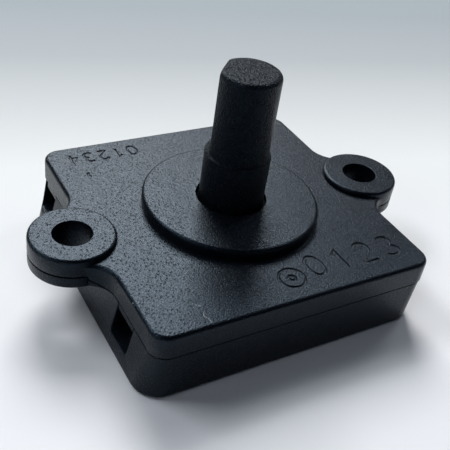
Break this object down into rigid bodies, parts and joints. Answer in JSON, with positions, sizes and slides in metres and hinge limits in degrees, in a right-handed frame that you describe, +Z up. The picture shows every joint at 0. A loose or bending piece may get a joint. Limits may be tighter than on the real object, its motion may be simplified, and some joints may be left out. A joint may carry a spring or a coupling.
{
  "type": "rotary selector switch",
  "caption": "Square rotary selector switch in black plastic with fixing ears at its sides, a round boss, a shaft with a flat that clicks round between stops, and push-in wire windows.",
  "frame": {"origin": "middle of the base's underside, on the shaft's axis", "axes": "+Z up the shaft, +X to one fixing ear, -Y to the plain side that faces right in the picture"},
  "size_m": [0.038, 0.0272, 0.0204],
  "materials": {
    "housing_plastic": "fine spark-eroded black moulding",
    "rotor_plastic": "fine black moulding",
    "brass": "stamped strip",
    "spring_steel": "rolled strip and drawn wire",
    "silver": "satin contact metal"
  },
  "bodies": {
    "housing": {"base": "housing_plastic", "cover": "housing_plastic", "detent_spring_front": "spring_steel", "detent_spring_back": "spring_steel", "common_terminal": "brass", "terminal_1": "brass", "terminal_2": "brass", "terminal_3": "brass", "fixed_contact_1": "silver", "fixed_contact_2": "silver", "fixed_contact_3": "silver", "clamp_spring_common": "spring_steel", "clamp_spring_1": "spring_steel", "clamp_spring_2": "spring_steel", "clamp_spring_3": "spring_steel"},
    "rotor": {"rotor": "rotor_plastic", "thrust_washer": "brass", "contact_bridge": "brass", "bridge_spring": "spring_steel", "bridge_contact_inner": "silver", "bridge_contact_outer": "silver"}
  },
  "joints": [
    {"name": "rotor_turn", "type": "hinge", "parent": "housing", "child": "rotor", "pos_m": [0, 0, 0.01], "axis": [0, 0, 1], "range_deg": [-135, 0], "deforming": ["detent_spring_front", "detent_spring_back"]}
  ]
}
